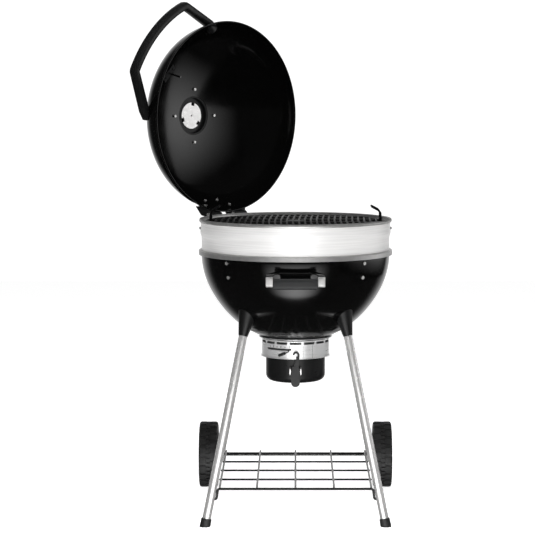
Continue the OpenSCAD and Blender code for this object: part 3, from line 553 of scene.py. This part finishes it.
def make_ring_wall():
    """The ring's sheet, with its step below the bead."""
    wall = [(281.6, 8.4), (282.9, 8.6), (282.8, 44), (283.4, 48), (286.0, 55), (286.4, 58), (286.4, 65),
            (285.9, 67.5), (285.1, 70), (285.0, 93), (283.8, 93), (283.8, 66), (285, 62), (284.9, 58),
            (281.7, 48)]
    return add("ring_wall", *lathe(over_rim(wall), 224), angle=30)


def make_ring_edges():
    """The rolled bead round the top and the turned-down lip over the bowl's rim."""
    round_bead = arc((0, 0), 5.4, -150, 155, 16)
    bead = [(286.5 + 0.68 * x, 96.1 + z) for x, z in round_bead] + [(283.8, 97)]
    lip = [(290.1, -7), (291.2, -6.6), (291.3, 5.6), (290.6, 6.8), (284.2, 7.4), (282.9, 8.6),
           (281.6, 8.6), (281.6, 6), (290, 4)]
    parts = [lathe(over_rim(loop), 224) for loop in (bead, lip)]
    return add("ring_edges", *join(*parts), angle=30)


piece(make_ring_wall(), "stand", MAT["ring_steel"], "steel_ring")
piece(make_ring_edges(), "stand", MAT["rolled_steel"], None)


# ---------------------------------------------------------------- grates

BAR_PITCH = 18 * MM
BAR_W = 6 * MM
BAR_BOW = 8 * MM
BOW_LENGTH = 520 * MM
RIB_W = 12 * MM
RIB_PITCH = 118 * MM


def bowed(x, y):
    """Where a bar that ends at x runs at y."""
    return x - BAR_BOW * math.cos(math.pi * y / BOW_LENGTH)


def grate_bar(x):
    """A bar of the cooking grate with a flat top and chamfered edges."""
    half = math.sqrt((GRATE_R - 5 * MM) ** 2 - x * x)
    steps = max(6, int(2 * half / (12 * MM)))
    section = [(-0.5, -1.0), (-0.5, -0.18), (-0.32, 0.0), (0.32, 0.0), (0.5, -0.18), (0.5, -1.0)]
    height = GRATE_TOP - GRATE_LOW.z
    rings = []
    for i in range(steps + 1):
        y = -half + 2 * half * i / steps
        rings.append([(bowed(x, y) + u * BAR_W, y, GRATE_TOP + w * height) for u, w in section])
    return loft(rings)


def make_cooking_grate():
    """Bars, cross ribs, a rim and the boss in the middle."""
    last = int((GRATE_R - 14 * MM) / BAR_PITCH)
    parts = [grate_bar(i * BAR_PITCH) for i in range(-last, last + 1)]
    low, top, r = GRATE_LOW.z, GRATE_TOP, GRATE_R
    rim = [(r - 9 * MM, low), (r - 1 * MM, low), (r, low + 1.5 * MM), (r, top - 2 * MM),
           (r - 2 * MM, top), (r - 7 * MM, top), (r - 9 * MM, top - 2 * MM)]
    parts.append(lathe(rim, 160))
    boss = [(0, low), (29 * MM, low), (30 * MM, low + 1 * MM), (30 * MM, top - 1.5 * MM),
            (28.5 * MM, top + 0.2 * MM), (0, top + 0.2 * MM)]
    parts.append(lathe(boss, 48))
    for k in range(-2, 2):
        y = (k + 0.6) * RIB_PITCH
        half = math.sqrt((r - 6 * MM) ** 2 - y * y)
        parts.append(block((-half, y - RIB_W / 2, low), (half, y + RIB_W / 2, top - 0.4 * MM)))
    return add("grate_lattice", *join(*parts), angle=30)


piece(make_cooking_grate(), "grate", MAT["cast_iron"], "cooking_grate")


def make_grate_handles():
    """Two loops of wire that rise from the grate's edge and lean in over it."""
    low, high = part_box("grate_handles")
    r = 3 * MM
    x, y, top = high.x - r, high.y - r, high.z - r
    leg = [(x, low.z + 2 * r), (x, top - 18 * MM), (x - 7 * MM, top - 10 * MM), (x - 26 * MM, top)]
    parts = []
    for side in (-1, 1):
        path = [(side * a, -y, b) for a, b in leg] + [(side * a, y, b) for a, b in reversed(leg)]
        parts.append(tube(fillet(path, 8 * MM), r * 0.98))
    return add("grate_lifting_wires", *join(*parts), angle=50)


piece(make_grate_handles(), "grate", MAT["black_wire"], "grate_handles")


# ---------------------------------------------------------------- front handle of the bowl

HANDLE_TOP = 760 * MM
HANDLE_TILT = Matrix.Translation((0, -280 * MM, HANDLE_TOP)) @ Matrix.Rotation(math.radians(9), 4, "X")
HANDLE_SHEET = 3 * MM
FLANGE_HALF = 44 * MM
FLANGE_R = 277 * MM
FLANGE_Y = -285 * MM
CAP_W = 20.5 * MM


def make_handle_plate():
    """Folded plate: a cut-out top that slopes down to the grip, and a flange against the bowl."""
    half = [(44, 6), (44, 1), (46, -3), (83.5, -46), (84, -50), (84, -60), (66, -60.5), (53, -37),
            (48, -32)]
    outline = [(x * MM, y * MM) for x, y in half] + [(-x * MM, y * MM) for x, y in reversed(half)]
    top = add("plate_top", *slab(outline, -HANDLE_SHEET, 0), HANDLE_TILT)
    bevel(top, 0.9 * MM, 2)
    back = arc((0, 0), FLANGE_R, 261, 279, 16)
    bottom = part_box("bowl_handle_frame")[0].z
    outline = [(-FLANGE_HALF, FLANGE_Y), *back, (FLANGE_HALF, FLANGE_Y)]
    flange = add("plate_flange", *slab(outline, bottom, HANDLE_TOP - 2 * MM))
    bevel(flange, 0.6 * MM, 2)
    return merge("bowl_handle_plate", top, flange)


piece(make_handle_plate(), "stand", MAT["black_enamel"], "bowl_handle_frame")


def along_x(outline, x0, x1):
    """An outline of (y, z) points pulled along X."""
    v, f = slab(outline, x0, x1)
    return [(z, x, y) for x, y, z in v], f


def bar_outline(low, high, corner_r, steps):
    """Rounded outline of (y, z) points that fills a node's box."""
    c = (low + high) / 2
    return [(c.y + a, c.z + b)
            for a, b in rounded_rect(high.y - low.y, high.z - low.z, corner_r, steps)]


def make_grip():
    """The plastic bar of the bowl's handle."""
    low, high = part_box("bowl_handle_grip")
    outline = bar_outline(low, high, 9 * MM, 8)
    return bevel(add("bowl_handle_bar", *along_x(outline, low.x, high.x)), 1.2 * MM)


piece(make_grip(), "stand", MAT["grip_plastic"], "bowl_handle_grip")


def make_end_caps():
    """The metal caps over the bar's two ends."""
    low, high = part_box("bowl_handle_end_caps")
    outline = bar_outline(low, high, 7 * MM, 6)
    parts = [along_x(outline, low.x, low.x + CAP_W), along_x(outline, high.x - CAP_W, high.x)]
    return bevel(add("bowl_handle_caps", *join(*parts)), 1.5 * MM)


piece(make_end_caps(), "stand", MAT["cap_aluminium"], "bowl_handle_end_caps")


# ---------------------------------------------------------------- wheels

WHEEL_SEGMENTS = 22
TYRE_HALF = 29.5 * MM
TREAD_GROOVE = 5 * MM


def tread_block(r, side, angle, spread):
    """One shoulder block of the tread, wrapped from the crown over the shoulder."""
    edge = TYRE_HALF
    loop = [(r, 7 * MM), (r, edge - 6.5 * MM), (r - 1.6 * MM, edge - 2.6 * MM),
            (r - 6 * MM, edge - 0.2 * MM), (r - 14 * MM, edge), (r - 14 * MM, edge - 3 * MM),
            (r - 6 * MM, edge - 7 * MM), (r - 6 * MM, 7 * MM)]
    return turned([(rad, side * z) for rad, z in loop], angle, spread, 4)


def tread_rib(r, angle, spread):
    """A narrow rib across the middle of the tread."""
    high, low, half = r - 0.4 * MM, r - TREAD_GROOVE, 6 * MM
    return turned([(high, -half), (high, half), (low, half), (low, -half)], angle, spread, 3)


def make_tyre(side, word):
    """A tyre with staggered shoulder blocks and narrow ribs between them."""
    low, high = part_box("tyre_" + word)
    centre = (low + high) / 2
    r, half, groove = high.z - centre.z, TYRE_HALF, TREAD_GROOVE
    edge = [(r - groove, half - 5 * MM), (r - 5 * MM, half - 0.6 * MM), (r - 12 * MM, half),
            (r - 30 * MM, half - 2 * MM)]
    parts = [lathe([(rad, -z) for rad, z in reversed(edge)] + edge, 176)]
    step = TAU / WHEEL_SEGMENTS
    for i in range(WHEEL_SEGMENTS):
        parts.append(tread_block(r, -1, i * step, step * 0.30))
        parts.append(tread_block(r, 1, (i + 0.5) * step, step * 0.30))
        parts += [tread_rib(r, (i + half_step) * step, step * 0.15) for half_step in (0, 0.5)]
    at = Matrix.Translation(centre) @ Matrix.Rotation(side * math.pi / 2, 4, "Y")
    return add("tyre_body_" + word, *join(*parts), at, angle=28)


for side, word in ((-1, "left"), (1, "right")):
    piece(make_tyre(side, word), "wheel_" + word, MAT["tyre_rubber"], "tyre_" + word)


# ---------------------------------------------------------------- vent collar

# Degrees round the collar from +X.
TICK_FIRST = 222
TICK_STEP = 7.5
SEAM_ANGLES = (283, 300)


def collar_strip(angle, half_angle, low, high, proud):
    """A strip up the collar's outside, sunk a little into it."""
    start, stop = angle - half_angle, angle + half_angle
    ring = arc((0, 0), COLLAR_R + proud, start, stop, 4) + arc((0, 0), COLLAR_R - 0.2 * MM, stop, start, 4)
    return slab(ring, low, high)


def make_collar_marks():
    """Ticks over the lever's slot, and the edges of the lap where the collar's sheet is joined."""
    tops = [513 * MM, 515 * MM] * 3
    parts = [collar_strip(TICK_FIRST + i * TICK_STEP, 0.45, 509 * MM, top, 0.15 * MM)
             for i, top in enumerate(tops)]
    parts += [collar_strip(angle, 0.22, 478 * MM, 517 * MM, 0.2 * MM) for angle in SEAM_ANGLES]
    return add("collar_marks", *join(*parts))


piece(make_collar_marks(), "stand", MAT["black_plastic"], None)


# ---------------------------------------------------------------- wire rack

RACK_BAR = 3.7 * MM
RACK_WIRE = 3.0 * MM
RACK_HALF = 228 * MM
RACK_FRONT = -225 * MM
RACK_XS = [x * MM for x in (-222.6, -113.2, 0, 113.2, 222.6)]
RACK_REAR_INSET = 12.8 * MM
RACK_REAR_DROP = 0.8 * MM
RACK_FRONT_DROP = 30 * MM


def make_cross_wires(low, high):
    """Three wires across, a stouter one behind, and the front one with its ends bent down to the legs."""
    z, back = high.z - RACK_BAR, high.y - RACK_BAR
    parts = []
    for i in range(1, 4):
        y = RACK_FRONT + i * (back - RACK_FRONT) / 4
        parts.append(tube([(-RACK_HALF, y, z), (RACK_HALF, y, z)], RACK_WIRE))
    ends = (low.x + RACK_REAR_INSET, high.x - RACK_REAR_INSET)
    parts.append(tube([(x, back, z - RACK_REAR_DROP) for x in ends], RACK_BAR))
    foot, leg_y = z - RACK_FRONT_DROP, RACK_FRONT - 0.6 * MM
    path = [(RACK_HALF, RACK_FRONT, z), (RACK_HALF + 4 * MM, leg_y, foot), (high.x, leg_y, foot)]
    path = [(-x, y, z) for x, y, z in reversed(path)] + path
    parts.append(tube(fillet(path, 7 * MM), RACK_BAR))
    return join(*parts)


def make_long_wires(low, high):
    """Wires that run back over the cross wires and are bent down to the front one."""
    over = high.z - RACK_WIRE
    front, bottom = low.y + RACK_WIRE, low.z + RACK_WIRE
    parts = []
    for x in RACK_XS:
        path = [(x, front, bottom), (x, front + 12 * MM, over), (x, high.y, over)]
        parts.append(tube(fillet(path, 8 * MM), RACK_WIRE))
    return join(*parts)


# The long wires' light grey material is a painted highlight on what is black wire.
for maker, node, look in ((make_cross_wires, "rack_cross_wires", "black_wire"),
                          (make_long_wires, "rack_long_wires", "painted_highlight_wire")):
    shape = add(node + "_bent", *maker(*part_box(node)), angle=50)
    piece(shape, "stand", MAT[look], node)


# ---------------------------------------------------------------- lid

def lid_side_angle():
    """Degrees of the lid's side arc before the crown takes over at the dome's height."""
    x, h = LID_R - LID_SIDE_R, LID_DOME_H
    r = (x * x + h * h - LID_SIDE_R ** 2) / (2 * (h - LID_SIDE_R))
    return math.degrees(math.atan2(r - h, x))


def make_lid():
    """The dome's sheet with a round bead at its edge and the vent's hole at its top."""
    line = [(r, LID_Z + d) for r, d in dome_line(LID_R, [(LID_SIDE_R, lid_side_angle())], 24)]
    line = [p for p in line if p[0] > LID_HOLE_R]
    bead = arc((LID_R + LID_SHEET, LID_Z), LID_BEAD_R, 100, -180, 10)
    outer = [p for p in line if p[1] > LID_Z + LID_BEAD_R]
    inner = []
    for i, p in enumerate(line):
        a, b = line[max(i - 1, 0)], line[min(i + 1, len(line) - 1)]
        d = Vector((b[0] - a[0], b[1] - a[1])).normalized()
        inner.append((p[0] - d.y * LID_SHEET, p[1] + d.x * LID_SHEET))
    loop = outer[::-1] + bead + [p for p in inner if p[1] > LID_Z + 1 * MM]
    return add("lid_dome", *lathe(loop, 224), LID_OPEN, angle=30)


piece(make_lid(), "lid", MAT["black_enamel"], "lid_shell")


# The loop's roots are at 45 degrees each side of the front, this far forwards and sideways.
LOOP_ROOT = 268 * MM * math.cos(math.pi / 4)
LOOP_ROOT_Z = 70 * MM
LOOP_DROP = math.radians(8.6)
LOOP_OUT_R = 381 * MM
LOOP_W = 24.6 * MM
LOOP_HALF_T = 14.7 * MM
LOOP_CORNER = math.radians(23)
LOOP_SIDES = 20
LOOP_SQUARENESS = 0.62


def handle_stations():
    """Stations of the lid's handle as (x, y, half width), x forwards from the kettle's axis."""
    mid_r = LOOP_OUT_R - LOOP_W / 2
    foot = Vector((LOOP_ROOT + 30 * MM, LOOP_ROOT - 3 * MM))
    knee = Vector((mid_r * math.cos(LOOP_CORNER) - 1 * MM, mid_r * math.sin(LOOP_CORNER) - 2 * MM))
    arm = [(LOOP_ROOT + 2 * MM, LOOP_ROOT - 1 * MM, 16.5 * MM), (*foot, 14.0 * MM)]
    for k in range(1, 5):
        arm.append((*foot.lerp(knee, k / 5), (14.0 - 1.4 * k / 5) * MM))
    arm += [(knee.x - 4 * MM, knee.y + 1.5 * MM, 12.6 * MM), (*knee, 12.4 * MM)]
    angles = [LOOP_CORNER * 0.955 * (1 - k / 12) for k in range(25)]
    bow = [(mid_r * math.cos(a), mid_r * math.sin(a), LOOP_W / 2) for a in angles]
    return arm + bow + [(x, -y, w) for x, y, w in reversed(arm)]


def squared(value):
    """Swells a sine or cosine, so that a circle becomes a rounded square."""
    return math.copysign(abs(value) ** LOOP_SQUARENESS, value)


def make_lid_handle():
    """A loop of rounded square section, swept along its stations."""
    place = (LID_OPEN @ Matrix.Translation((0, 0, LID_Z)) @ Matrix.Rotation(-math.pi / 2, 4, "Z")
             @ Matrix.Translation((LOOP_ROOT, 0, LOOP_ROOT_Z)) @ Matrix.Rotation(LOOP_DROP, 4, "Y")
             @ Matrix.Translation((-LOOP_ROOT, 0, 0)))
    stations = handle_stations()
    points = [Vector((x, y)) for x, y, _ in stations]
    rings = []
    for i, (x, y, w) in enumerate(stations):
        along = (points[min(i + 1, len(points) - 1)] - points[max(i - 1, 0)]).normalized()
        ring = []
        for k in range(LOOP_SIDES):
            angle = TAU * k / LOOP_SIDES
            across = squared(math.cos(angle)) * w
            up = squared(math.sin(angle)) * LOOP_HALF_T
            ring.append((x - along.y * across, y + along.x * across, up))
        rings.append(ring)
    return add("lid_handle_loop", *loft(rings), place, angle=40)


piece(make_lid_handle(), "lid", MAT["black_plastic"], "lid_handle")


# ---------------------------------------------------------------- stage, light and camera

FLOOR_LOW = (-5.0, -5.0, -0.02)
FLOOR_HIGH = (5.0, 7.0, 0.0)


def make_floor():
    """A pale floor that glows a little, so that it is as white as the backdrop."""
    floor = add("studio_floor", *block(FLOOR_LOW, FLOOR_HIGH))
    m = Nodes("studio_floor", Emission_Color=(1, 1, 1, 1), Emission_Strength=0.88)
    m.colour(m.noise(3, 2), 0.3, 0.7, (grey(0.84), grey(0.86)))
    m.rough(m.noise(5, 2), 0.85, 0.95)
    floor.data.materials.append(m.material)
    floor.visible_glossy = False


make_floor()


def make_world():
    """White where the camera sees it, and as light only a soft glow from behind the grill."""
    world = bpy.data.worlds.new("studio")
    bpy.context.scene.world = world
    world.use_nodes = True
    world.node_tree.nodes.clear()
    g = Graph(world.node_tree)
    out, mix, path = g.new("OutputWorld"), g.new("MixShader"), g.new("LightPath")
    seen, lit = g.new("Background"), g.new("Background")
    coords, split = g.new("TexCoord"), g.new("SeparateXYZ")
    seen.inputs["Color"].default_value = (1, 1, 1, 1)
    seen.inputs["Strength"].default_value = 1.15
    g.link(coords.outputs["Generated"], split.inputs["Vector"])
    glow = g.map_range(split.outputs["Y"], (0.60, 0.98), (0.03, 1.0), smooth=True)
    g.link(glow, lit.inputs["Strength"])
    g.link(path.outputs["Is Camera Ray"], mix.inputs["Fac"])
    g.link(lit.outputs["Background"], mix.inputs[1])
    g.link(seen.outputs["Background"], mix.inputs[2])
    g.link(mix.outputs["Shader"], out.inputs["Surface"])


make_world()


def softbox(name, place, target, size, radiance):
    """A rectangular light that faces its target and shows neither itself nor in reflections."""
    light = bpy.data.lights.new(name, "AREA")
    light.shape = "RECTANGLE"
    light.size, light.size_y = size
    light.energy = radiance * math.pi * size[0] * size[1]
    obj = bpy.data.objects.new(name, light)
    obj.location = place
    aim = Vector(target) - Vector(place)
    obj.rotation_mode = "QUATERNION"
    obj.rotation_quaternion = aim.to_track_quat("-Z", "Y")
    obj.visible_camera = False
    obj.visible_glossy = False
    bpy.context.scene.collection.objects.link(obj)


def glow_card(name, place, facing, half_size, radiance, fade):
    """A sheet that only reflections show; its glow fades over the given share of each half."""
    sheet = add(name, [(-1, -1, 0), (1, -1, 0), (1, 1, 0), (-1, 1, 0)], [(0, 1, 2, 3)])
    sheet.rotation_mode = "QUATERNION"
    sheet.rotation_quaternion = Vector(facing).to_track_quat("Z", "Y")
    sheet.location = place
    sheet.scale = (*half_size, 1)
    material = bpy.data.materials.new(name)
    material.use_nodes = True
    material.node_tree.nodes.clear()
    g = Graph(material.node_tree)
    distance, split = g.new("VectorMath", operation="ABSOLUTE"), g.new("SeparateXYZ")
    product = g.new("Math", operation="MULTIPLY")
    glow, out = g.new("Emission"), g.new("OutputMaterial")
    g.link(g.new("TexCoord").outputs["Object"], distance.inputs[0])
    g.link(distance.outputs["Vector"], split.inputs["Vector"])
    for k, peak in enumerate((radiance, 1.0)):
        faded = g.map_range(split.outputs["XY"[k]], (1.0, 1.0 - fade[k]), (0.0, peak), smooth=True)
        g.link(faded, product.inputs[k])
    g.link(product.outputs["Value"], glow.inputs["Strength"])
    g.link(glow.outputs["Emission"], out.inputs["Surface"])
    sheet.data.materials.append(material)
    for ray in ("camera", "diffuse", "transmission", "shadow"):
        setattr(sheet, "visible_" + ray, False)


# Light on the matt surfaces: broad from the front, a small patch on the ring, and from overhead.
softbox("front_fill", (0.0, -5.0, 1.7), (0, 0, 0.8), (3.0, 2.4), 6.2)
softbox("near_fill", (0.0, -1.3, 0.90), (0, 0, 0.84), (0.4, 0.2), 8.5)
softbox("overhead", (0.1, -0.6, 3.4), (0, 0, 0.5), (2.4, 2.0), 6.0)

# What the gloss shows: a glow low in front, which the bowl mirrors, and one at the right, for the lid.
glow_card("front_glow", (0.0, -1.4, -0.54), (0, 1, 0), (1.25, 1.26), 4.2, (1.0, 0.5))
glow_card("side_glow", (2.0, 0.5, 1.2), (-1, 0, 0), (2.1, 1.25), 1.5, (1.0, 1.0))
# A dark card over the ring keeps the front glow out of the lid's right side.
glow_card("lid_flag", (0.4, -0.62, 0.93), (0, 0, 1), (1.6, 0.80), 0.0, (1.0, 1.0))

CAMERA_DISTANCE = 6.024
CAMERA_HEIGHT = 1.3052
CAMERA_PITCH = 5.346
CAMERA_SHIFT = -0.0523
LENS = 134.8


def make_camera():
    """The photograph's camera, fitted from the ellipses of the rims."""
    data = bpy.data.cameras.new("camera")
    data.lens = LENS
    data.sensor_width = 36
    data.shift_x = CAMERA_SHIFT
    obj = bpy.data.objects.new("camera", data)
    obj.location = (0, -CAMERA_DISTANCE, CAMERA_HEIGHT)
    obj.rotation_euler = (math.radians(90 - CAMERA_PITCH), 0, 0)
    bpy.context.scene.collection.objects.link(obj)
    bpy.context.scene.camera = obj


make_camera()

scene = bpy.context.scene
scene.view_settings.view_transform = "Standard"
scene.view_settings.look = "None"
